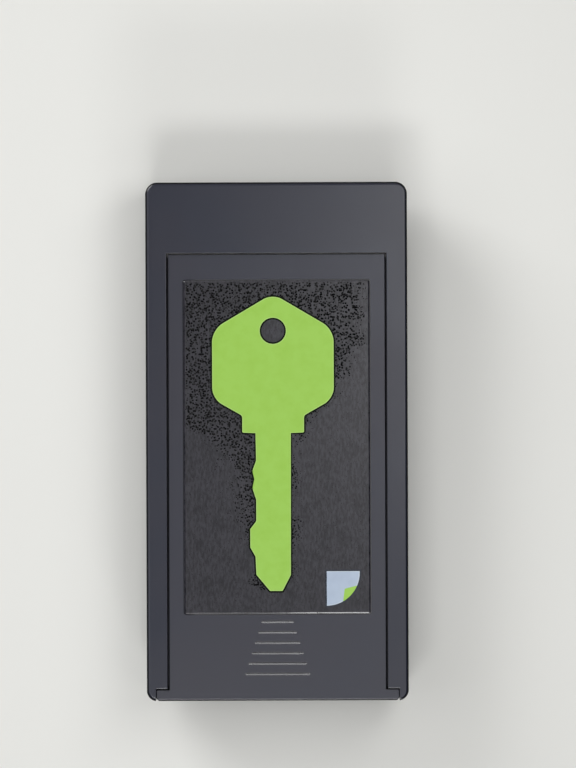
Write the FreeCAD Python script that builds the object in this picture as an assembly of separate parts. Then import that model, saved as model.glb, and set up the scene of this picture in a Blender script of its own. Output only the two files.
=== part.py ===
import FreeCAD, Part

# Magnetic key case: a moulded sleeve, open at one end, whose lid slides out between two rails, with a
# magnet stack in a housing on its back. It lies on its magnets: +X is its width, +Y points to the
# closed end and +Z is its front. Millimetres. The origin is under the middle, on the contact plane.
import math
import os

Vector = FreeCAD.Vector

# ---- Case body
case_width = 53.0
case_length = 105.0
case_depth = 14.0
closed_corner_radius = 2.4
open_corner_radius = 2.1
front_edge_radius = 0.7
back_edge_radius = 1.0
side_wall = 1.8
closed_end_wall = 1.8
floor_thickness = 1.6
floor_corner_radius = 0.8
bore_end_radius = 0.4

# ---- Header and rails, which hold the lid down
header_length = 14.4
rail_width = 4.25
rail_thickness = 1.5
rail_edge_radius = 0.15
rail_end_radius = 0.35
ledge_reach = 1.6
ledge_lip = 0.9
ledge_slope = 45.0

# ---- Sliding lid
tongue_thickness = 1.6
tongue_corner_radius = 1.5
lid_drop = 0.6
lid_wall = 1.5
lid_edge_radius = 0.12
lip_edge_radius = 0.5
header_overlap = 7.0
end_lip_length = 2.25
lid_end_wall = 1.8
lid_end_corner_radius = 0.8
lid_end_wall_fillet = 0.8
lid_rib_thickness = 0.9
lid_rib_count = 4
drag_pip_width = 1.6

# ---- Clearances of the lid
side_clearance = 0.2
lift_clearance = 0.15
panel_gap = 0.3
header_gap = 0.2
rail_end_gap = 0.12
lip_side_gap = 0.1
floor_clearance = 0.2
ledge_gap = 0.3
pip_play = 0.05

# ---- Grip ribs, a fan that widens towards the open end
grip_count = 6
grip_pitch = 2.11
grip_first_width = 6.45
grip_widening = 1.31
grip_rib_width = 0.44
grip_rib_height = 0.2
grip_rib_back = 0.08
grip_crest_radius = 0.05
grip_last_to_end = 5.4

# ---- Label
label_side_margin = 3.1
label_header_margin = 5.25
label_end_margin = 17.6
label_thickness = 0.45
label_seat_depth = 0.22
label_seat_gap = 0.17
label_corner_radius = 0.4
label_bevel_width = 0.3
label_bevel_height = 0.155

# ---- Magnet stack and its housing
magnet_width = 24.0
magnet_length = 28.8
magnet_thickness = 5.0
magnet_edge_radius = 0.4
magnet_spacing = 0.4
magnet_recess = 0.6
pole_thickness = 1.5
pole_proud = 0.5
pole_edge_radius = 0.25
glue_thickness = 0.4
pocket_clearance = 0.3
housing_wall = 1.6
housing_corner_radius = 3.0
pocket_corner_radius = 0.8
housing_rim_radius = 0.5
housing_root_radius = 0.8

# ---- Heights, from the contact plane up
pocket_top = magnet_recess + magnet_thickness + glue_thickness
case_front = pocket_top + case_depth
floor_top = pocket_top + floor_thickness
rail_underside = case_front - rail_thickness
tongue_top = rail_underside - lift_clearance
tongue_bottom = tongue_top - tongue_thickness
ledge_top = tongue_bottom - lift_clearance
lid_face = case_front - lid_drop

# ---- Places along Y, and half widths
open_end = -case_length / 2
closed_end = case_length / 2
header_edge = closed_end - header_length
bore_end = closed_end - closed_end_wall
rail_end = open_end + end_lip_length + rail_end_gap
ledge_start = open_end + lid_end_wall + lid_end_wall_fillet + ledge_gap
half_bore = case_width / 2 - side_wall
half_window = case_width / 2 - rail_width
half_tongue = half_bore - side_clearance
half_panel = half_window - panel_gap
half_lip = half_bore - lip_side_gap
tongue_end = header_edge + header_overlap
panel_end = header_edge - header_gap
half_label = half_panel - label_side_margin
label_end_high = panel_end - label_header_margin
label_end_low = open_end + label_end_margin
stack_length = 2 * magnet_length + magnet_spacing
half_stack = magnet_width / 2 + pole_thickness
half_pocket_width = half_stack + pocket_clearance
half_pocket_length = stack_length / 2 + pocket_clearance
cut_margin = 1.0


def on_plan(height):
    """Places outline points (x, y) in the horizontal plane at a height."""
    return lambda x, y: Vector(x, y, height)


def on_cross_section(y):
    """Places outline points (x, z) in the plane across the case at y."""
    return lambda x, z: Vector(x, y, z)


def on_side_view(x):
    """Places outline points (y, z) in the plane along the case at x."""
    return lambda y, z: Vector(x, y, z)


def outline(corners, place):
    """A closed wire through corners (a, b) or (a, b, radius), with a tangent arc at each radius."""
    points = [place(corner[0], corner[1]) for corner in corners]
    radii = [corner[2] if len(corner) > 2 else 0.0 for corner in corners]
    stretches = []
    for index, (point, radius) in enumerate(zip(points, radii)):
        back = (points[index - 1] - point).normalize()
        ahead = (points[(index + 1) % len(points)] - point).normalize()
        if radius == 0.0:
            stretches.append((point, None, point))
            continue
        half_angle = back.getAngle(ahead) / 2
        to_tangent = radius / math.tan(half_angle)
        to_arc = radius / math.sin(half_angle) - radius
        middle = point + (back + ahead).normalize() * to_arc
        stretches.append((point + back * to_tangent, middle, point + ahead * to_tangent))
    edges = []
    for index, (start, middle, end) in enumerate(stretches):
        if middle is not None:
            edges.append(Part.Arc(start, middle, end).toShape())
        following = stretches[(index + 1) % len(stretches)][0]
        if (following - end).Length > 1e-7:
            edges.append(Part.LineSegment(end, following).toShape())
    return Part.Wire(edges)


def extruded(corners, place, direction):
    """The solid swept by an outline along a direction."""
    return Part.Face(outline(corners, place)).extrude(direction)


def plate(corners, bottom, top):
    """A flat plate of a plan outline between two heights."""
    return extruded(corners, on_plan(bottom), Vector(0, 0, top - bottom))


def rectangle(half_width, low, high, low_radius=0.0, high_radius=0.0):
    """Corners of a rectangle centred on x = 0, with one radius for each end."""
    return [
        (-half_width, low, low_radius),
        (half_width, low, low_radius),
        (half_width, high, high_radius),
        (-half_width, high, high_radius),
    ]


def block(half_width, low, high, bottom, top):
    """A plain block centred on x = 0."""
    return plate(rectangle(half_width, low, high), bottom, top)


def edges_where(shape, test):
    """The edges of a shape whose bounding box passes a test."""
    return [edge for edge in shape.Edges if test(edge.BoundBox)]


def mirrored_section(half):
    """A whole section from its right half, which is listed from the bottom up."""
    return half + [(-corner[0],) + corner[1:] for corner in reversed(half)]


def is_level(box, height):
    return abs(box.ZMin - height) < 1e-6 and abs(box.ZMax - height) < 1e-6


def make_case_body():
    body = plate(
        rectangle(case_width / 2, open_end, closed_end, open_corner_radius, closed_corner_radius),
        pocket_top,
        case_front,
    )
    body = body.makeFillet(front_edge_radius, edges_where(body, lambda box: is_level(box, case_front)))
    body = body.makeFillet(back_edge_radius, edges_where(body, lambda box: is_level(box, pocket_top)))
    body = body.cut(make_bore())
    body = body.cut(make_mouth())
    body = body.cut(make_window())
    body = round_window_edges(body)
    body = body.fuse(make_housing_rim()).removeSplitter()
    body = round_housing_root(body)
    return body.cut(make_magnet_pocket())


def make_bore():
    """The hollow of the sleeve: the key compartment below the ledges, and the tongues' grooves above."""
    half_compartment = half_bore - ledge_reach
    ledge_tip = ledge_top - ledge_lip
    ledge_root = ledge_tip - ledge_reach * math.tan(math.radians(ledge_slope))
    half = [
        (half_bore, floor_top, floor_corner_radius),
        (half_bore, ledge_root),
        (half_compartment, ledge_tip),
        (half_compartment, ledge_top),
        (half_bore, ledge_top),
        (half_bore, rail_underside),
    ]
    along = Vector(0, bore_end - ledge_start, 0)
    bore = extruded(mirrored_section(half), on_cross_section(ledge_start), along)
    return bore.makeFillet(bore_end_radius, edges_where(bore, lambda box: box.YMin > bore_end - 1e-6))


def make_mouth():
    """The full-width end of the hollow, clear of the ledges, that the lid's end wall closes."""
    half = [(half_bore, floor_top, floor_corner_radius), (half_bore, rail_underside)]
    start = open_end - cut_margin
    return extruded(mirrored_section(half), on_cross_section(start), Vector(0, ledge_start - start, 0))


def make_window():
    """The opening between the rails, and the full-width gap in front of the rails' ends."""
    low = open_end - cut_margin
    top = case_front + cut_margin
    between_rails = block(half_window, low, header_edge, rail_underside, top)
    before_rails = block(half_bore, low, rail_end, rail_underside, top)
    return between_rails.fuse(before_rails)


def round_window_edges(body):
    """Softens the front edges of the header and the rails, and rounds the rails' ends more."""

    def beside_window(box):
        inside = box.XMin > -half_bore - 1e-6 and box.XMax < half_bore + 1e-6
        return is_level(box, case_front) and inside and box.YMax > rail_end + rail_end_radius

    def at_rail_end(box):
        return is_level(box, case_front) and abs(box.YMin - rail_end) < 1e-6 > box.YLength

    body = body.makeFillet(rail_end_radius, edges_where(body, at_rail_end))
    return body.makeFillet(rail_edge_radius, edges_where(body, beside_window))


def housing_block(half_width, half_length, radius, bottom):
    corners = rectangle(half_width, -half_length, half_length, radius, radius)
    return plate(corners, bottom, pocket_top)


def make_housing_rim():
    """The block on the case's back whose pocket the magnet stack sits in."""
    half_width = half_pocket_width + housing_wall
    half_length = half_pocket_length + housing_wall
    rim = housing_block(half_width, half_length, housing_corner_radius, pole_proud)
    return rim.makeFillet(housing_rim_radius, edges_where(rim, lambda box: is_level(box, pole_proud)))


def round_housing_root(body):
    """A fillet where the magnet housing grows out of the case's back."""
    half_length = half_pocket_length + housing_wall

    def at_root(box):
        inside = box.YMin > -half_length - 1e-6 and box.YMax < half_length + 1e-6
        return is_level(box, pocket_top) and inside and box.XMax < case_width / 2 - back_edge_radius - 1e-6

    return body.makeFillet(housing_root_radius, edges_where(body, at_root))


def make_magnet_pocket():
    bottom = pole_proud - cut_margin
    return housing_block(half_pocket_width, half_pocket_length, pocket_corner_radius, bottom)


def make_slide_lid():
    corner = lid_end_corner_radius
    lip_edge = open_end + end_lip_length
    tongue = plate(
        rectangle(half_tongue, open_end, tongue_end, corner, tongue_corner_radius), tongue_bottom, tongue_top
    )
    panel = block(half_panel, lip_edge, panel_end, tongue_top, lid_face)
    lip = plate(rectangle(half_lip, open_end, lip_edge, corner), tongue_top, lid_face)
    lid = tongue.fuse([panel, lip, make_lid_end_wall()]).removeSplitter()
    lid = lid.makeFillet(lid_edge_radius, edges_where(lid, lambda box: is_level(box, lid_face)))
    lid = lid.cut(make_thumb_edge())
    lid = round_end_wall_root(lid)
    lid = lid.cut(make_lid_hollow())
    lid = lid.cut(make_label_seat())
    return lid.fuse(make_grip_ribs() + make_drag_pips()).removeSplitter()


def make_thumb_edge():
    """What is cut from the lip's front edge to round it where a thumb meets it."""
    above = lid_face + cut_margin
    below = lid_face - lip_edge_radius
    profile = [
        (open_end - cut_margin, above),
        (open_end - cut_margin, below),
        (open_end, below),
        (open_end, lid_face, lip_edge_radius),
        (open_end + lip_edge_radius, lid_face),
        (open_end + lip_edge_radius, above),
    ]
    return extruded(profile, on_side_view(-case_width / 2), Vector(case_width, 0, 0))


def make_lid_end_wall():
    """The wall that hangs from the lid and closes the sleeve's open end down to its floor."""
    bottom = floor_top + floor_clearance
    corners = rectangle(half_tongue, open_end, open_end + lid_end_wall, lid_end_corner_radius)
    half = [(half_tongue, bottom, floor_corner_radius), (half_tongue, tongue_bottom)]
    along = Vector(0, lid_end_wall, 0)
    fitted = extruded(mirrored_section(half), on_cross_section(open_end), along)
    return plate(corners, bottom, tongue_bottom).common(fitted)


def round_end_wall_root(lid):
    def at_root(box):
        return is_level(box, tongue_bottom) and abs(box.YMin - open_end - lid_end_wall) < 1e-6 > box.YLength

    return lid.makeFillet(lid_end_wall_fillet, edges_where(lid, at_root))


def make_lid_hollow():
    """The underside is hollowed behind the raised panel, with ribs left across it."""
    half_hollow = half_panel - lid_wall
    low = open_end + lid_end_wall + lid_wall
    high = panel_end - lid_wall
    top = lid_face - lid_wall
    bottom = tongue_bottom - cut_margin
    bays = lid_rib_count + 1
    bay_length = (high - low - lid_rib_count * lid_rib_thickness) / bays
    radius = tongue_corner_radius
    hollows = []
    for bay in range(bays):
        start = low + bay * (bay_length + lid_rib_thickness)
        hollows.append(plate(rectangle(half_hollow, start, start + bay_length, radius, radius), bottom, top))
    return Part.makeCompound(hollows)


def make_drag_pips():
    """Low domes under the tongues that take up most of their play on the ledges."""
    half_width = drag_pip_width / 2
    height = lift_clearance - pip_play
    sphere_radius = (half_width**2 + height**2) / (2 * height)
    middle_x = half_tongue - half_width - side_clearance
    pips = []
    for y in (tongue_end - 2 * drag_pip_width, rail_end + 2 * drag_pip_width):
        for x in (-middle_x, middle_x):
            sphere = Part.makeSphere(sphere_radius, Vector(x, y, tongue_bottom - height + sphere_radius))
            below = Part.makeCylinder(half_width, height, Vector(x, y, tongue_bottom - height))
            pips.append(sphere.common(below))
    return pips


def make_label_seat():
    half_seat = half_label + label_seat_gap
    radius = label_corner_radius + label_seat_gap
    return plate(
        rectangle(half_seat, label_end_low - label_seat_gap, label_end_high + label_seat_gap, radius, radius),
        lid_face - label_seat_depth,
        lid_face + cut_margin,
    )


def make_grip_ribs():
    """A fan of ribs with a steep back for the thumb to push on and a long slope to the open end."""
    ribs = []
    for index in range(grip_count):
        from_last = grip_count - 1 - index
        middle = open_end + grip_last_to_end + from_last * grip_pitch
        width = grip_first_width + index * grip_widening
        low = middle - grip_rib_width / 2
        high = middle + grip_rib_width / 2
        foot = lid_face - grip_rib_height
        profile = [
            (low, foot),
            (high, foot),
            (high, lid_face),
            (high - grip_rib_back, lid_face + grip_rib_height, grip_crest_radius),
            (low, lid_face),
        ]
        ribs.append(extruded(profile, on_side_view(-width / 2), Vector(width, 0, 0)))
    return ribs


def make_label_sheet():
    """A thick printed film whose edges slope down to the lid all round."""
    bottom = lid_face - label_seat_depth
    top = bottom + label_thickness
    shoulder = top - label_bevel_height
    inset = label_bevel_width
    radius = label_corner_radius
    corners = rectangle(half_label, label_end_low, label_end_high, radius, radius)
    face = rectangle(
        half_label - inset, label_end_low + inset, label_end_high - inset, radius - inset, radius - inset
    )
    bevel = Part.makeLoft([outline(corners, on_plan(shoulder)), outline(face, on_plan(top))], True, True)
    return plate(corners, bottom, shoulder).fuse(bevel).removeSplitter()


def make_ferrite_block(low):
    high = low + magnet_length
    magnet = block(magnet_width / 2, low, high, magnet_recess, magnet_recess + magnet_thickness)
    lower_edges = edges_where(magnet, lambda box: is_level(box, magnet_recess))
    return magnet.makeFillet(magnet_edge_radius, lower_edges)


def make_pole_plate(side):
    """A steel strip on edge, against the blocks' side, that reaches the contact plane."""
    inner = magnet_width / 2
    radius = pole_edge_radius
    top = magnet_recess + magnet_thickness
    section = [
        (side * inner, 0.0, radius),
        (side * (inner + pole_thickness), 0.0, radius),
        (side * (inner + pole_thickness), top),
        (side * inner, top),
    ]
    return extruded(section, on_cross_section(-stack_length / 2), Vector(0, stack_length, 0))


def make_glue_bed():
    bottom = magnet_recess + magnet_thickness
    return block(half_stack, -stack_length / 2, stack_length / 2, bottom, bottom + glue_thickness)


def make_parts():
    return {
        "case_body": make_case_body(),
        "slide_lid": make_slide_lid(),
        "label_sheet": make_label_sheet(),
        "ferrite_block_upper": make_ferrite_block(magnet_spacing / 2),
        "ferrite_block_lower": make_ferrite_block(-magnet_spacing / 2 - magnet_length),
        "pole_plate_left": make_pole_plate(-1),
        "pole_plate_right": make_pole_plate(1),
        "magnet_glue_bed": make_glue_bed(),
    }


os.makedirs("parts", exist_ok=True)
for name, shape in make_parts().items():
    shape.exportStep("parts/" + name + ".step")
    print(name, shape.isValid(), len(shape.Solids), round(shape.Volume, 1))
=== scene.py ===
import math

import bmesh
import bpy
from mathutils import Matrix, Vector


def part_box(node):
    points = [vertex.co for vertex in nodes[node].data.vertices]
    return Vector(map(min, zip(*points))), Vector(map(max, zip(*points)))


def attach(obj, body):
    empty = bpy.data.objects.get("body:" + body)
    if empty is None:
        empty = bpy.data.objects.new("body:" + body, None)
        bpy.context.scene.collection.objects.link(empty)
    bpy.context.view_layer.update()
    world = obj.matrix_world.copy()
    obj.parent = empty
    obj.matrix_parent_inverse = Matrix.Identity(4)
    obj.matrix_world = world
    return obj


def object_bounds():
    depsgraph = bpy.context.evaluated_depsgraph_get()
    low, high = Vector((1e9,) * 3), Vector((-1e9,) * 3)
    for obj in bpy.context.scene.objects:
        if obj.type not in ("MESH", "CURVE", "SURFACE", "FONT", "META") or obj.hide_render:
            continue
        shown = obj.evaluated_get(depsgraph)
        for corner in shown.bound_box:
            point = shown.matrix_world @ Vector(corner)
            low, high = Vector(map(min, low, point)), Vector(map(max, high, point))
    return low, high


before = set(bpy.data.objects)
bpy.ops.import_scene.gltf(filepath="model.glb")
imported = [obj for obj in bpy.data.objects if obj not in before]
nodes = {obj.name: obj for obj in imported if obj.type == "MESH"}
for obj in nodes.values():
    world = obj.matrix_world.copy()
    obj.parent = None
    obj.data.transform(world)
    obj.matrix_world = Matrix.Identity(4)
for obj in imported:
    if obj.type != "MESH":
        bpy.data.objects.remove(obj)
cad_low, cad_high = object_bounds()
scene = bpy.context.scene

MM = 0.001


# ---------------------------------------------------------------- sizes of the prints on the label
PRINT_THICKNESS = 0.02
PRINT_BORDER = 0.33
PRINT_RIM = 0.18
label_low, label_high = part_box("label_sheet")
LABEL_FACE = label_high.z

# The key drawn on the label: millimetres from the case's middle, with its axis a little left of it.
KEY_AXIS = -0.75
BOW_TOP = 29.97
BOW_HALF_WIDTH = 12.3
BOW_UPPER_CORNER = 22.85
BOW_LOWER_CORNER = 8.5
BOW_TOP_RADIUS = 3.9
BOW_UPPER_RADIUS = 4.6
BOW_LOWER_RADIUS = 4.0
SHOULDER_HALF_WIDTH = 6.25
SHOULDER_TOP = 5.05
SHOULDER_BOTTOM = 1.8
SHOULDER_TOP_RADIUS = 0.5
SHOULDER_BOTTOM_RADIUS = 0.6
BLADE_HALF_WIDTH = 3.48
BLADE_END = -27.1
BLADE_END_RADIUS = 0.6
TIP = -30.25
TIP_LEFT = -0.9
TIP_RIGHT = 2.0
TIP_RADIUS = 0.5
RING_HOLE_HEIGHT = 22.4
RING_HOLE_RADIUS = 2.65

# The corners of the blade's left side from its end upwards: across, along, radius.
BITTING = [
    (-3.66, -23.4, 0.3),
    (-4.71, -21.5, 0.5),
    (-4.71, -17.6, 0.5),
    (-3.48, -16.0, 0.3),
    (-3.48, -11.8, 0.4),
    (-4.25, -9.5, 0.3),
    (-3.86, -7.6, 0.3),
    (-4.25, -5.9, 0.3),
    (-3.48, -3.8, 0.4),
]


# ---------------------------------------------------------------- building shaders
def linear(red, green, blue):
    """A colour given as 0 to 255 on screen, as the linear values that a shader takes."""
    def channel(value):
        value = value / 255
        return value / 12.92 if value <= 0.04045 else ((value + 0.055) / 1.055) ** 2.4

    return (channel(red), channel(green), channel(blue), 1.0)


def put(tree, kind, inputs=None, **settings):
    """Adds a node, sets its properties, and sets or links its inputs."""
    node = tree.nodes.new(kind)
    for name, value in settings.items():
        setattr(node, name, value)
    for name, value in (inputs or {}).items():
        socket = node.inputs[name]
        if isinstance(value, bpy.types.NodeSocket):
            tree.links.new(value, socket)
        else:
            socket.default_value = value
    return node


def math_node(tree, operation, first, second=0.0):
    return put(tree, "ShaderNodeMath", {0: first, 1: second}, operation=operation).outputs[0]


def add_scaled(tree, value, mask, amount):
    """A value, raised by the amount where the mask is white."""
    return math_node(tree, "ADD", value, math_node(tree, "MULTIPLY", mask, amount))


# The sockets of a Mix node that take and give colours.
FIRST_COLOUR = 6
SECOND_COLOUR = 7
MIXED_COLOUR = 2


def mix_colour(tree, amount, first, second):
    """Goes from the first colour to the second as the amount goes from 0 to 1."""
    inputs = {"Factor": amount, FIRST_COLOUR: first, SECOND_COLOUR: second}
    return put(tree, "ShaderNodeMix", inputs, data_type="RGBA").outputs[MIXED_COLOUR]


def tinted(colour, red, green, blue):
    """A colour with its three channels scaled."""
    scaled = [min(1.0, value * scale) for value, scale in zip(colour, (red, green, blue))]
    return (*scaled, 1.0)


def spread(tree, value, low, high, to_low=0.0, to_high=1.0):
    """Maps a value from one range to another, held at both ends."""
    inputs = {"Value": value, "From Min": low, "From Max": high, "To Min": to_low, "To Max": to_high}
    return put(tree, "ShaderNodeMapRange", inputs).outputs["Result"]


def place(tree):
    """Object coordinates, which are metres in the part's own frame."""
    return put(tree, "ShaderNodeTexCoord").outputs["Object"]


def parts(tree, vector):
    """The X, Y and Z of a vector."""
    return put(tree, "ShaderNodeSeparateXYZ", {"Vector": vector}).outputs


def facing(tree):
    """The X, Y and Z of the direction in which the surface faces."""
    return parts(tree, put(tree, "ShaderNodeNewGeometry").outputs["Normal"])


def noise(tree, where, per_metre, detail=2.0, roughness=0.5):
    """Soft noise from 0 to 1 with about this many lumps to a metre."""
    inputs = {"Vector": where, "Scale": per_metre, "Detail": detail, "Roughness": roughness}
    return put(tree, "ShaderNodeTexNoise", inputs).outputs["Fac"]


def stretched(tree, where, x, y, z, turn=0.0):
    """Coordinates scaled along each axis and turned, for streaks and lines."""
    inputs = {"Vector": where, "Scale": (x, y, z), "Rotation": (0.0, 0.0, turn)}
    return put(tree, "ShaderNodeMapping", inputs).outputs["Vector"]


def new_material(name):
    """An empty material with a Principled shader at its output."""
    material = bpy.data.materials.new(name)
    material.use_nodes = True
    tree = material.node_tree
    tree.nodes.clear()
    shader = put(tree, "ShaderNodeBsdfPrincipled")
    output = put(tree, "ShaderNodeOutputMaterial")
    tree.links.new(shader.outputs["BSDF"], output.inputs["Surface"])
    return material, tree, shader


def bump(tree, shader, height, depth):
    """Feeds a height of 0 to 1 to the shader's normal, at its real depth in metres."""
    node = put(tree, "ShaderNodeBump", {"Height": height, "Distance": depth, "Strength": 1.0})
    tree.links.new(node.outputs["Normal"], shader.inputs["Normal"])


def new_group(name, inputs, outputs):
    """A node group with number sockets: the group, what it is given, and what it puts out."""
    group = bpy.data.node_groups.new(name, "ShaderNodeTree")
    for label, default in inputs:
        socket = group.interface.new_socket(label, in_out="INPUT", socket_type="NodeSocketFloat")
        socket.default_value = default
    for label in outputs:
        group.interface.new_socket(label, in_out="OUTPUT", socket_type="NodeSocketFloat")
    return group, put(group, "NodeGroupInput").outputs, put(group, "NodeGroupOutput").inputs


def use_group(tree, group, **inputs):
    """Places a group in a material with its own values."""
    return put(tree, "ShaderNodeGroup", inputs, node_tree=group).outputs


# ---------------------------------------------------------------- shared effects
def make_mould_grain():
    """The fine spark-eroded grain of a mould, with broad soft clouds of more and less shine."""
    group, given, out = new_group("mould_grain", [("Grains per metre", 9000.0)], ["Height", "Clouds"])
    where = place(group)
    grain = noise(group, where, given["Grains per metre"], 3.0, 0.6)
    clouds = noise(group, where, 45.0, 3.0, 0.55)
    group.links.new(grain, out["Height"])
    group.links.new(clouds, out["Clouds"])
    return group


def make_fine_scratches():
    """Sparse hairline scratches in two directions, as a mask."""
    group, given, out = new_group("fine_scratches", [("Coverage", 0.02)], ["Mask"])
    where = place(group)
    layers = []
    for turn, across in ((0.5, 900.0), (-0.9, 700.0)):
        streaks = noise(group, stretched(group, where, across, 30.0, 30.0, turn), 1.0, 1.0)
        hairlines = spread(group, streaks, 0.66, 0.8)
        patches = noise(group, where, 60.0 + across / 20, 1.0)
        worn_patches = spread(group, patches, 0.5, 0.8)
        layers.append(math_node(group, "MULTIPLY", hairlines, worn_patches))
    both = math_node(group, "MAXIMUM", layers[0], layers[1])
    group.links.new(math_node(group, "MULTIPLY", both, given["Coverage"]), out["Mask"])
    return group


def make_edge_mask():
    """White where the surface turns sharply, from a bevelled normal against the true one."""
    group, given, out = new_group("edge_mask", [("Radius", 0.0005)], ["Mask"])
    rounded = put(group, "ShaderNodeBevel", {"Radius": given["Radius"]}, samples=6).outputs["Normal"]
    true_normal = put(group, "ShaderNodeNewGeometry").outputs["Normal"]
    inputs = {0: rounded, 1: true_normal}
    likeness = put(group, "ShaderNodeVectorMath", inputs, operation="DOT_PRODUCT").outputs["Value"]
    group.links.new(spread(group, likeness, 0.995, 0.75), out["Mask"])
    return group


def make_crevice_mask():
    """White at the foot of walls and in narrow gaps of the same piece: where the case plastic gets its
    painted shade, its dullness and its dusting.
    """
    group, given, out = new_group("crevice_mask", [("Reach", 0.0012)], ["Mask"])
    reach = {"Distance": given["Reach"]}
    openness = put(group, "ShaderNodeAmbientOcclusion", reach, samples=8, only_local=True).outputs["AO"]
    group.links.new(spread(group, openness, 0.85, 0.55), out["Mask"])
    return group


mould_grain = make_mould_grain()
fine_scratches = make_fine_scratches()
edge_mask = make_edge_mask()
crevice_mask = make_crevice_mask()


# ---------------------------------------------------------------- materials
# How level a face is where each mask of the mouldings starts and where it is full: 1 is flat, 0 is a wall.
SLOPED_FACE = (0.97, 0.93)
STEEP_FACE = (0.92, 0.84)
RIM_FACE = (0.85, 0.7)
OFF_WALL = (0.02, 0.15)

# Pale grey in two gaps: partly dusting, partly painted light that lifts the gap floors.
DUST_AND_PAINTED_LIGHT = linear(165, 164, 162)


def mould_faces(tree):
    """Masks of a moulding's sloped faces, its steep faces and its rims, all black on the walls."""
    level = math_node(tree, "ABSOLUTE", facing(tree)["Z"])
    off_wall = spread(tree, level, *OFF_WALL)
    masks = []
    for start, full in (SLOPED_FACE, STEEP_FACE, RIM_FACE):
        masks.append(math_node(tree, "MULTIPLY", spread(tree, level, start, full), off_wall))
    return masks


def make_case_plastic(name, colour, roughness):
    """Satin black injection-moulded plastic, with painted shade that blackens its steep faces and crevices,
    rims turned black as painted shade by a dark metallic finish, and a pale grey dusting in two gaps that
    is partly painted light.
    """
    material, tree, shader = new_material(name)
    grain = use_group(tree, mould_grain)
    scratches = use_group(tree, fine_scratches, Coverage=0.5)["Mask"]
    crevices = use_group(tree, crevice_mask, Reach=1.2 * MM)["Mask"]
    edges = use_group(tree, edge_mask, Radius=0.35 * MM)["Mask"]
    sloped, steep, rim = mould_faces(tree)

    thin_cloud = tinted(colour, 0.92, 0.84, 0.86)
    clouded = mix_colour(tree, spread(tree, grain["Clouds"], 0.35, 0.65), thin_cloud, colour)
    pale = tinted(colour, 1.6, 1.6, 1.6)
    worn = mix_colour(tree, math_node(tree, "MULTIPLY", edges, 0.15), clouded, pale)
    # Painted shade: the colour goes near black on steep faces and in crevices, where shade falls.
    black = tinted(colour, 0.2, 0.2, 0.2)
    painted_shade_colour = mix_colour(tree, math_node(tree, "MAXIMUM", steep, crevices), worn, black)
    # Painted light, partly dusting: pale grey on the floors of the header gap and the label seat, none in
    # the seat's shaded left.
    dust_and_painted_light = math_node(tree, "MULTIPLY", crevices, dust_and_painted_light_places(tree))
    tree.links.new(mix_colour(tree, dust_and_painted_light, painted_shade_colour, DUST_AND_PAINTED_LIGHT), shader.inputs["Base Color"])
    # Painted shade: rims take a black metallic finish, so they reflect almost nothing and read as a dark
    # outline.
    tree.links.new(math_node(tree, "MULTIPLY", rim, 0.85), shader.inputs["Metallic"])

    shine = spread(tree, grain["Clouds"], 0.3, 0.7, roughness + 0.025, roughness - 0.025)
    scratched = add_scaled(tree, shine, scratches, 0.06)
    polished = add_scaled(tree, scratched, sloped, -0.12)
    dull = add_scaled(tree, polished, crevices, 0.55)
    tree.links.new(add_scaled(tree, dull, rim, 0.4), shader.inputs["Roughness"])
    bump(tree, shader, grain["Height"], 0.004 * MM)
    shader.inputs["IOR"].default_value = 1.56
    return material


def dust_and_painted_light_places(tree):
    """Where the pale grey goes, partly dusting and partly painted light: white in the gap in front of the
    header, and grey in the label's seat except on its shaded left.
    """
    axes = parts(tree, place(tree))
    at_header = spread(tree, axes["Y"], label_high.y + 4.5 * MM, label_high.y + 5.0 * MM)
    in_seat = spread(tree, axes["Z"], label_low.z - 0.2 * MM, label_low.z - 0.1 * MM, 0.0, 0.5)
    right_of_left = spread(tree, axes["X"], label_low.x + 1.0 * MM, label_low.x + 3.0 * MM)
    return math_node(tree, "MAXIMUM", at_header, math_node(tree, "MULTIPLY", in_seat, right_of_left))


def limit_along(tree, along, points):
    """A limit in millimetres that follows points (along, limit), joined by straight lines."""
    limit = points[0][1]
    for (start, first), (end, second) in zip(points, points[1:]):
        step = spread(tree, along, start, end, 0.0, second - first)
        limit = math_node(tree, "ADD", limit, step)
    return limit


# The left and right limits of the pits, in millimetres: along the label, across it.
PITTED_LEFT = [
    (-30.5, -2.5),
    (-28.5, -6.4),
    (-26.0, -4.6),
    (-22.5, -4.6),
    (-19.5, -7.0),
    (-9.8, -9.3),
    (-3.3, -11.2),
    (0.6, -14.5),
    (4.8, -22.0),
]
PITTED_RIGHT = [
    (-31.0, -7.0),
    (-29.5, 0.0),
    (-27.5, 3.9),
    (-1.0, 4.4),
    (4.0, 8.5),
    (9.0, 12.5),
    (20.5, 17.9),
]
PIT_CELLS_PER_METRE = 2250.0
PIT_BLACK = linear(3, 3, 4)
PIT_ROUGHNESS = 0.8
FILM_DARK = linear(27, 27, 33)
FILM_PALE = linear(51, 50, 57)
FILM_ROUGHNESS = 0.29
CUT_EDGE_POLISH = 0.18
FRONT_EDGE_DULLNESS = 0.22


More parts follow.
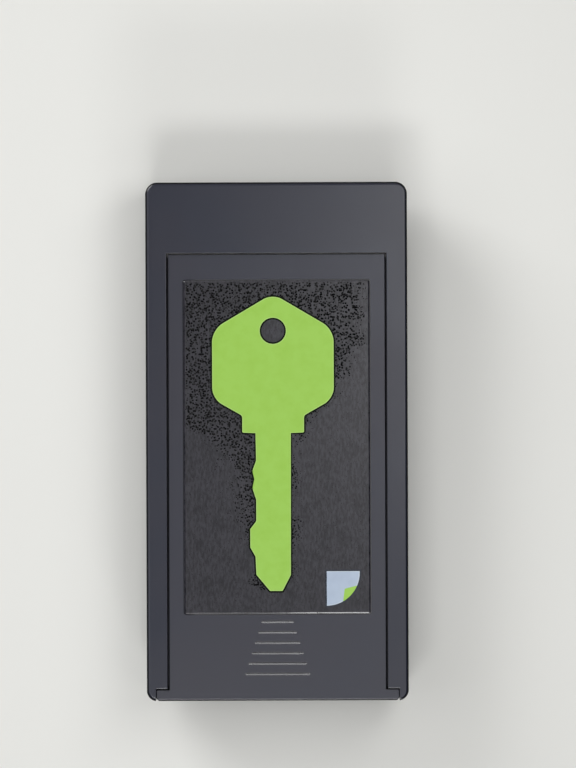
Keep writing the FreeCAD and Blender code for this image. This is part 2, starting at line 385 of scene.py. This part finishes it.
def pitted_area(tree, where, across, along):
    """White where the film is pitted: about the key, but not in its ring hole or at the label's edges."""
    drift = spread(tree, noise(tree, where, 230.0, 3.0, 0.6), 0.25, 0.75, -2.6, 2.6)
    past_left = math_node(tree, "SUBTRACT", across, limit_along(tree, along, PITTED_LEFT))
    short_of_right = math_node(tree, "SUBTRACT", limit_along(tree, along, PITTED_RIGHT), across)
    ring_hole = Vector((KEY_AXIS * MM, RING_HOLE_HEIGHT * MM, LABEL_FACE))
    ends = {0: where, 1: ring_hole}
    from_hole = put(tree, "ShaderNodeVectorMath", ends, operation="DISTANCE").outputs["Value"]
    from_side = math_node(tree, "SUBTRACT", label_high.x / MM, math_node(tree, "ABSOLUTE", across))
    from_end = math_node(tree, "SUBTRACT", label_high.y / MM, along)
    from_edges = math_node(tree, "MINIMUM", from_side, from_end)
    masks = [
        spread(tree, math_node(tree, "ADD", past_left, drift), -1.2, 2.0),
        spread(tree, math_node(tree, "ADD", short_of_right, drift), -1.2, 2.0),
        spread(tree, from_hole, RING_HOLE_RADIUS * MM, (RING_HOLE_RADIUS + 0.1) * MM),
        spread(tree, from_edges, 0.3, 0.6),
    ]
    area = masks[0]
    for mask in masks[1:]:
        area = math_node(tree, "MULTIPLY", area, mask)
    return area


def cut_edge_polish(tree, across, height):
    """How much smoother the label's cut edges are than its face: least at the front edge's left end."""
    normal = facing(tree)
    cut_edge = spread(tree, normal["Z"], 0.96, 0.93)
    front_edge = spread(tree, normal["Y"], -0.3, -0.4)
    left_part = spread(tree, across, -1.0, 7.0, FRONT_EDGE_DULLNESS, 0.0)
    foot = spread(tree, height, LABEL_FACE - 0.09 * MM, LABEL_FACE - 0.12 * MM, 0.0, FRONT_EDGE_DULLNESS)
    duller = math_node(tree, "MULTIPLY", front_edge, math_node(tree, "MAXIMUM", left_part, foot))
    return math_node(tree, "MULTIPLY", cut_edge, math_node(tree, "SUBTRACT", CUT_EDGE_POLISH, duller))


def make_label_film():
    """Matt black printed film: fine streaks, round black pits, and cut edges that shine more."""
    material, tree, shader = new_material("label_film")
    where = place(tree)
    axes = parts(tree, where)
    across = math_node(tree, "MULTIPLY", axes["X"], 1 / MM)
    along = math_node(tree, "MULTIPLY", axes["Y"], 1 / MM)

    cells = put(tree, "ShaderNodeTexVoronoi", {"Vector": where, "Scale": PIT_CELLS_PER_METRE}).outputs
    pit_radius = spread(tree, pitted_area(tree, where, across, along), 0.0, 1.0, 0.20, 0.55)
    depth = spread(tree, math_node(tree, "SUBTRACT", pit_radius, cells["Distance"]), 0.0, 0.15)
    blackness = math_node(tree, "MULTIPLY", depth, spread(tree, cells["Color"], 0.3, 0.6, 0.3, 0.9))
    tree.links.new(blackness, shader.inputs["Metallic"])

    streaks = noise(tree, stretched(tree, where, 2600.0, 900.0, 900.0), 1.0, 2.0, 0.6)
    clouds = spread(tree, noise(tree, where, 260.0, 2.0), 0.3, 0.7, -0.2, 0.2)
    paleness = math_node(tree, "ADD", spread(tree, streaks, 0.35, 0.65), clouds)
    film = mix_colour(tree, paleness, FILM_DARK, FILM_PALE)
    tree.links.new(mix_colour(tree, depth, film, PIT_BLACK), shader.inputs["Base Color"])

    matt = spread(tree, depth, 0.0, 1.0, FILM_ROUGHNESS, PIT_ROUGHNESS)
    polish = cut_edge_polish(tree, across, axes["Z"])
    tree.links.new(math_node(tree, "SUBTRACT", matt, polish), shader.inputs["Roughness"])
    surface = math_node(tree, "SUBTRACT", math_node(tree, "MULTIPLY", streaks, 0.25), depth)
    bump(tree, shader, surface, 0.03 * MM)
    shader.inputs["IOR"].default_value = 1.50
    return material


def make_print_ink(name, colour, shade, gloss=0.5):
    """Flat screen-printed ink that lies on the film and shows a little of its pebble."""
    material, tree, shader = new_material(name)
    where = place(tree)
    lay = noise(tree, where, 350.0, 3.0, 0.6)
    inked = mix_colour(tree, spread(tree, lay, 0.4, 0.7), colour, shade)
    tree.links.new(inked, shader.inputs["Base Color"])
    pebble = noise(tree, where, 2600.0, 2.0, 0.6)
    tree.links.new(spread(tree, lay, 0.3, 0.7, 0.5, 0.42), shader.inputs["Roughness"])
    bump(tree, shader, pebble, 0.006 * MM)
    shader.inputs["Specular IOR Level"].default_value = gloss
    return material


def make_ferrite():
    """Sintered ferrite, ground on its faces, with a few bright grains."""
    material, tree, shader = new_material("ferrite")
    where = place(tree)
    grain = noise(tree, where, 4200.0, 4.0, 0.7)
    lines = noise(tree, stretched(tree, where, 5200.0, 90.0, 90.0), 1.0, 2.0)
    edges = use_group(tree, edge_mask, Radius=0.3 * MM)["Mask"]
    mottled = mix_colour(tree, spread(tree, grain, 0.35, 0.7), linear(42, 42, 44), linear(70, 69, 70))
    chipped = math_node(tree, "MULTIPLY", edges, spread(tree, noise(tree, where, 900.0, 3.0), 0.5, 0.62))
    tree.links.new(mix_colour(tree, chipped, mottled, linear(28, 27, 28)), shader.inputs["Base Color"])
    tree.links.new(spread(tree, lines, 0.3, 0.7, 0.42, 0.6), shader.inputs["Roughness"])
    bump(tree, shader, math_node(tree, "ADD", lines, grain), 0.006 * MM)
    shader.inputs["IOR"].default_value = 1.7
    return material


def make_plated_steel():
    """Zinc-plated mild steel strip with rolling lines along it."""
    material, tree, shader = new_material("plated_steel")
    where = place(tree)
    rolled = noise(tree, stretched(tree, where, 6000.0, 60.0, 6000.0), 1.0, 2.0)
    tarnish = noise(tree, where, 160.0, 4.0, 0.6)
    scratches = use_group(tree, fine_scratches, Coverage=0.8)["Mask"]
    colour = mix_colour(tree, spread(tree, tarnish, 0.4, 0.7), linear(196, 197, 195), linear(168, 166, 152))
    tree.links.new(mix_colour(tree, scratches, colour, linear(214, 214, 212)), shader.inputs["Base Color"])
    tree.links.new(spread(tree, rolled, 0.3, 0.7, 0.26, 0.42), shader.inputs["Roughness"])
    bump(tree, shader, rolled, 0.003 * MM)
    shader.inputs["Metallic"].default_value = 1.0
    return material


def make_glue():
    """Cured epoxy, amber and glossy."""
    material, tree, shader = new_material("glue")
    where = place(tree)
    depth = noise(tree, where, 300.0, 3.0)
    amber = mix_colour(tree, depth, linear(150, 118, 62), linear(190, 160, 100))
    tree.links.new(amber, shader.inputs["Base Color"])
    tree.links.new(spread(tree, depth, 0.3, 0.7, 0.16, 0.3), shader.inputs["Roughness"])
    bump(tree, shader, depth, 0.03 * MM)
    return material


# ---------------------------------------------------------------- new pieces
def rounded_corners(mesh, corners, height):
    """A flat face through corners (x, y, radius) in millimetres, its corners rounded by vertex bevels."""
    made = [mesh.verts.new((x * MM, y * MM, height)) for x, y, radius in corners]
    mesh.faces.new(made)
    for index, (x, y, radius) in enumerate(corners):
        if radius == 0.0:
            continue
        here = Vector((x, y))
        back = (Vector(corners[index - 1][:2]) - here).normalized()
        ahead = (Vector(corners[(index + 1) % len(corners)][:2]) - here).normalized()
        reach = radius / math.tan(back.angle(ahead) / 2)
        bmesh.ops.bevel(
            mesh,
            geom=[made[index]],
            offset=reach * MM,
            segments=8,
            profile=0.5,
            affect="VERTICES",
            material=-1,
        )


def border_and_thickness(mesh, even=False):
    """Gives a flat print its border and the rim inside it, as materials 1 and 2, then its thickness."""
    inner = mesh.faces[:]
    for index, width in ((1, PRINT_BORDER), (2, PRINT_RIM)):
        rim = bmesh.ops.inset_region(
            mesh,
            faces=inner,
            thickness=width * MM,
            use_boundary=True,
            use_even_offset=even,
        )
        for face in rim["faces"]:
            face.material_index = index
        inner = [face for face in mesh.faces if face.material_index == 0]
    thicken(mesh)


def thicken(mesh):
    """Gives a flat print its thickness upwards and turns its faces out."""
    raised = bmesh.ops.extrude_face_region(mesh, geom=mesh.faces[:])
    lifted = [item for item in raised["geom"] if isinstance(item, bmesh.types.BMVert)]
    bmesh.ops.translate(mesh, verts=lifted, vec=(0.0, 0.0, PRINT_THICKNESS * MM))
    bmesh.ops.recalc_face_normals(mesh, faces=mesh.faces[:])


def finish_print(name, mesh, materials):
    """Makes a print an object of its own that rides on the lid."""
    data = bpy.data.meshes.new(name)
    mesh.to_mesh(data)
    mesh.free()
    piece = bpy.data.objects.new(name, data)
    scene.collection.objects.link(piece)
    for material in materials:
        data.materials.append(material)
    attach(piece, "lid")


def make_key_print(inks):
    """The key's silhouette and its border, with the ring hole left open."""
    wide = PRINT_BORDER
    right = [
        (BLADE_HALF_WIDTH + wide, SHOULDER_BOTTOM - wide, 0.0),
        (SHOULDER_HALF_WIDTH + wide, SHOULDER_BOTTOM - wide, SHOULDER_BOTTOM_RADIUS),
        (SHOULDER_HALF_WIDTH + wide, SHOULDER_TOP, SHOULDER_TOP_RADIUS),
        (BOW_HALF_WIDTH + wide, BOW_LOWER_CORNER, BOW_LOWER_RADIUS),
        (BOW_HALF_WIDTH + wide, BOW_UPPER_CORNER, BOW_UPPER_RADIUS),
    ]
    left = [(-x, y, radius) for x, y, radius in reversed(right)]
    bitting = [(x - wide, y, radius) for x, y, radius in reversed(BITTING)]
    tip = [
        (-BLADE_HALF_WIDTH - wide, BLADE_END, BLADE_END_RADIUS),
        (TIP_LEFT, TIP - wide, TIP_RADIUS),
        (TIP_RIGHT, TIP - wide, TIP_RADIUS),
        (BLADE_HALF_WIDTH + wide, BLADE_END, BLADE_END_RADIUS),
    ]
    corners = tip + right + [(0.0, BOW_TOP + wide, BOW_TOP_RADIUS)] + left + bitting
    mesh = bmesh.new()
    rounded_corners(mesh, [(x + KEY_AXIS, y, radius) for x, y, radius in corners], LABEL_FACE)
    bmesh.ops.delete(mesh, geom=mesh.faces[:], context="FACES_ONLY")
    ring = Matrix.Translation((KEY_AXIS * MM, RING_HOLE_HEIGHT * MM, LABEL_FACE))
    bmesh.ops.create_circle(mesh, segments=48, radius=(RING_HOLE_RADIUS - wide) * MM, matrix=ring)
    bmesh.ops.triangle_fill(mesh, edges=mesh.edges[:], use_beauty=True, normal=(0.0, 0.0, 1.0))
    border_and_thickness(mesh)
    finish_print("key_print", mesh, inks)


# The pale quarter-round mark at the label's lower right, and its turned-up tip between two directions.
TAB_CENTRE = (9.97, -26.6)
TAB_RADIUS = 6.68
TAB_TOP = -26.3
FOLD_CORNER = (13.6, -29.85)
FOLD_SIDES = (14.0, -97.0)

# Axes of the label, and how close two points are when they count as one.
ACROSS = 0
ALONG = 1
SAME_PLACE = 0.001 * MM


def quarter_disc(radius, height):
    """A flat quarter disc that opens to the right and downwards from the tab's centre."""
    centre = Vector((TAB_CENTRE[0] * MM, TAB_CENTRE[1] * MM, height))
    mesh = bmesh.new()
    middle = mesh.verts.new(centre)
    start = mesh.verts.new(centre + Vector((radius * MM, 0.0, 0.0)))
    side = mesh.edges.new((middle, start))
    bmesh.ops.spin(
        mesh,
        geom=[middle, start, side],
        cent=centre,
        axis=(0.0, 0.0, 1.0),
        angle=-math.pi / 2,
        steps=24,
        use_merge=False,
    )
    bmesh.ops.remove_doubles(mesh, verts=mesh.verts[:], dist=SAME_PLACE)
    return mesh


def widen(mesh, axis, at, distance):
    """Adds a strip to the straight side that lies at this many millimetres along an axis."""
    side = []
    for edge in mesh.edges:
        if all(abs(vert.co[axis] - at * MM) < SAME_PLACE for vert in edge.verts):
            side.append(edge)
    added = bmesh.ops.extrude_edge_only(mesh, edges=side)
    moved = [item for item in added["geom"] if isinstance(item, bmesh.types.BMVert)]
    step = Vector((0.0, 0.0, 0.0))
    step[axis] = distance * MM
    bmesh.ops.translate(mesh, verts=moved, vec=step)
    bmesh.ops.recalc_face_normals(mesh, faces=mesh.faces[:])


def make_corner_tab(inks):
    """The quarter disc, widened by its border, with a strip on top up to the tab's straight edge."""
    mesh = quarter_disc(TAB_RADIUS + PRINT_BORDER, LABEL_FACE)
    widen(mesh, ACROSS, TAB_CENTRE[0], -PRINT_BORDER)
    widen(mesh, ALONG, TAB_CENTRE[1], TAB_TOP + PRINT_BORDER - TAB_CENTRE[1])
    border_and_thickness(mesh, even=True)
    finish_print("corner_tab", mesh, inks)


def make_corner_fold(ink):
    """The part of the tab's disc beyond two lines that leave the fold's corner at FOLD_SIDES degrees."""
    height = LABEL_FACE + PRINT_THICKNESS * MM
    mesh = quarter_disc(TAB_RADIUS, height)
    corner = Vector((FOLD_CORNER[0] * MM, FOLD_CORNER[1] * MM, height))
    for angle, outward in ((FOLD_SIDES[0], 1.0), (FOLD_SIDES[1], -1.0)):
        along = math.radians(angle)
        across = Vector((-math.sin(along), math.cos(along), 0.0)) * outward
        everything = mesh.verts[:] + mesh.edges[:] + mesh.faces[:]
        bmesh.ops.bisect_plane(mesh, geom=everything, plane_co=corner, plane_no=across, clear_outer=True)
    thicken(mesh)
    finish_print("corner_fold", mesh, [ink])


# ---------------------------------------------------------------- dressing the frame
def dress(node, material):
    """Gives a CAD node its material."""
    slots = nodes[node].data.materials
    slots.clear()
    slots.append(material)


body_plastic = make_case_plastic("body_plastic", linear(38, 41, 54), 0.305)
lid_plastic = make_case_plastic("lid_plastic", linear(39, 41, 54), 0.37)
ferrite = make_ferrite()
plated_steel = make_plated_steel()
key_border_ink = make_print_ink("key_border_ink", linear(4, 10, 1), linear(8, 16, 4), 0.1)
tab_border_ink = make_print_ink("tab_border_ink", linear(38, 43, 54), linear(34, 39, 50), 0.4)
green_rim_ink = make_print_ink("green_rim_ink", linear(166, 205, 108), linear(160, 200, 98))
tab_rim_ink = make_print_ink("tab_rim_ink", linear(189, 201, 214), linear(184, 196, 210))
green_ink = make_print_ink("green_ink", linear(150, 197, 76), linear(145, 192, 67))
tab_ink = make_print_ink("tab_ink", linear(173, 187, 206), linear(166, 180, 200))

dress("case_body", body_plastic)
dress("slide_lid", lid_plastic)
dress("label_sheet", make_label_film())
dress("ferrite_block_upper", ferrite)
dress("ferrite_block_lower", ferrite)
dress("pole_plate_left", plated_steel)
dress("pole_plate_right", plated_steel)
dress("magnet_glue_bed", make_glue())
make_key_print([green_ink, key_border_ink, green_rim_ink])
make_corner_tab([tab_ink, tab_border_ink, tab_rim_ink])
make_corner_fold(green_ink)


# ---------------------------------------------------------------- stage, lamps and camera
FLOOR_HALF_SIZE = 4.0
FLOOR_DARK = linear(229, 229, 225)
FLOOR_PALE = linear(233, 233, 229)
BACKDROP = linear(223, 223, 219)
BACKDROP_STARTS = 0.10
BACKDROP_FULL = 0.42
OVAL_SHIFT = 0.027
OVAL_SQUASH = 0.6


def fade_to_backdrop(tree, shader):
    """Turns the floor into an evenly pale backdrop beyond an oval, where the lamps no longer reach it."""
    shift = (0.0, OVAL_SHIFT, 0.0)
    squash = (1.0, OVAL_SQUASH, 1.0)
    oval = {"Vector": place(tree), "Location": shift, "Scale": squash}
    about_case = put(tree, "ShaderNodeMapping", oval).outputs["Vector"]
    distance = put(tree, "ShaderNodeVectorMath", {0: about_case}, operation="LENGTH").outputs["Value"]
    rays = put(tree, "ShaderNodeLightPath").outputs
    reflected = math_node(tree, "MAXIMUM", rays["Is Glossy Ray"], rays["Is Transmission Ray"])
    seen = math_node(tree, "MAXIMUM", rays["Is Camera Ray"], reflected)
    reach = {"Value": distance, "From Min": BACKDROP_STARTS, "From Max": BACKDROP_FULL}
    share = put(tree, "ShaderNodeMapRange", reach, interpolation_type="SMOOTHSTEP").outputs["Result"]
    fade = math_node(tree, "MULTIPLY", share, seen)
    backdrop = put(tree, "ShaderNodeEmission", {"Color": BACKDROP}).outputs["Emission"]
    mixed = put(tree, "ShaderNodeMixShader", {0: fade, 1: shader.outputs["BSDF"], 2: backdrop})
    surface = tree.get_output_node("ALL").inputs["Surface"]
    tree.links.new(mixed.outputs["Shader"], surface)


def make_floor():
    """A plain pale floor under the case."""
    mesh = bmesh.new()
    bmesh.ops.create_grid(mesh, x_segments=1, y_segments=1, size=FLOOR_HALF_SIZE)
    data = bpy.data.meshes.new("floor")
    mesh.to_mesh(data)
    mesh.free()
    floor = bpy.data.objects.new("floor", data)
    scene.collection.objects.link(floor)
    material, tree, shader = new_material("floor_card")
    cloud = noise(tree, place(tree), 8.0, 2.0)
    tree.links.new(mix_colour(tree, cloud, FLOOR_DARK, FLOOR_PALE), shader.inputs["Base Color"])
    shader.inputs["Roughness"].default_value = 0.85
    shader.inputs["Specular IOR Level"].default_value = 0.2
    fade_to_backdrop(tree, shader)
    data.materials.append(material)


def make_world():
    """A faint white glow from all sides, a little less from above."""
    world = bpy.data.worlds.new("studio")
    scene.world = world
    world.use_nodes = True
    tree = world.node_tree
    direction = put(tree, "ShaderNodeTexCoord").outputs["Generated"]
    upward = parts(tree, direction)["Z"]
    background = tree.nodes["Background"]
    background.inputs["Color"].default_value = (1.0, 1.0, 1.0, 1.0)
    tree.links.new(spread(tree, upward, 0.0, 1.0, 0.02, 0.01), background.inputs["Strength"])


def make_lamp(name, position, width, height, watts):
    """A square-cornered soft box aimed at the middle of the case."""
    lamp = bpy.data.lights.new(name, "AREA")
    lamp.shape = "RECTANGLE"
    lamp.size = width
    lamp.size_y = height
    lamp.energy = watts
    holder = bpy.data.objects.new(name, lamp)
    scene.collection.objects.link(holder)
    holder.location = position
    holder.rotation_euler = (-Vector(position)).to_track_quat("-Z", "Y").to_euler()


PICTURE_WIDTH = 576
PICTURE_HEIGHT = 768
CASE_MIDDLE_PIXEL = (276.9, 441.5)
PIXELS_PER_MM = 519.0 / 105.0
CAMERA_DISTANCE = 0.80
CASE_TURN = math.radians(0.22)


def make_camera():
    """Looks straight down at the case's front, with a long lens."""
    data = bpy.data.cameras.new("camera")
    data.sensor_width = 36.0
    data.lens = PIXELS_PER_MM * data.sensor_width * CAMERA_DISTANCE / MM / PICTURE_HEIGHT
    camera = bpy.data.objects.new("camera", data)
    scene.collection.objects.link(camera)
    right_of_case = PICTURE_WIDTH / 2 - CASE_MIDDLE_PIXEL[0]
    above_case = CASE_MIDDLE_PIXEL[1] - PICTURE_HEIGHT / 2
    offset = Vector((right_of_case, above_case))
    offset = offset / PIXELS_PER_MM * MM
    offset.rotate(Matrix.Rotation(-CASE_TURN, 2))
    camera.location = (offset.x, offset.y, cad_high.z + CAMERA_DISTANCE)
    camera.rotation_euler = (0.0, 0.0, -CASE_TURN)
    scene.camera = camera


make_floor()
make_world()
make_lamp("key_lamp", (0.11, 0.09, 0.26), 0.10, 0.20, 0.185)
make_lamp("tall_lamp", (0.12, 0.02, 0.45), 0.06, 0.25, 0.157)
make_lamp("right_lamp", (0.10, -0.12, 0.32), 0.08, 0.12, 0.064)
make_lamp("edge_lamp", (0.08, -0.56, 0.34), 0.25, 0.10, 0.95)
make_lamp("low_lamp", (-0.05, -0.22, 0.42), 0.15, 0.10, 0.53)
make_lamp("back_lamp", (0.08, 0.44, 0.32), 0.40, 0.12, 0.15)
make_lamp("left_lamp", (-0.30, 0.0, 0.45), 0.30, 0.40, 0.40)
make_lamp("back_left_lamp", (-0.35, 0.35, 0.30), 0.30, 0.30, 1.74)
make_camera()
scene.view_settings.view_transform = "Standard"
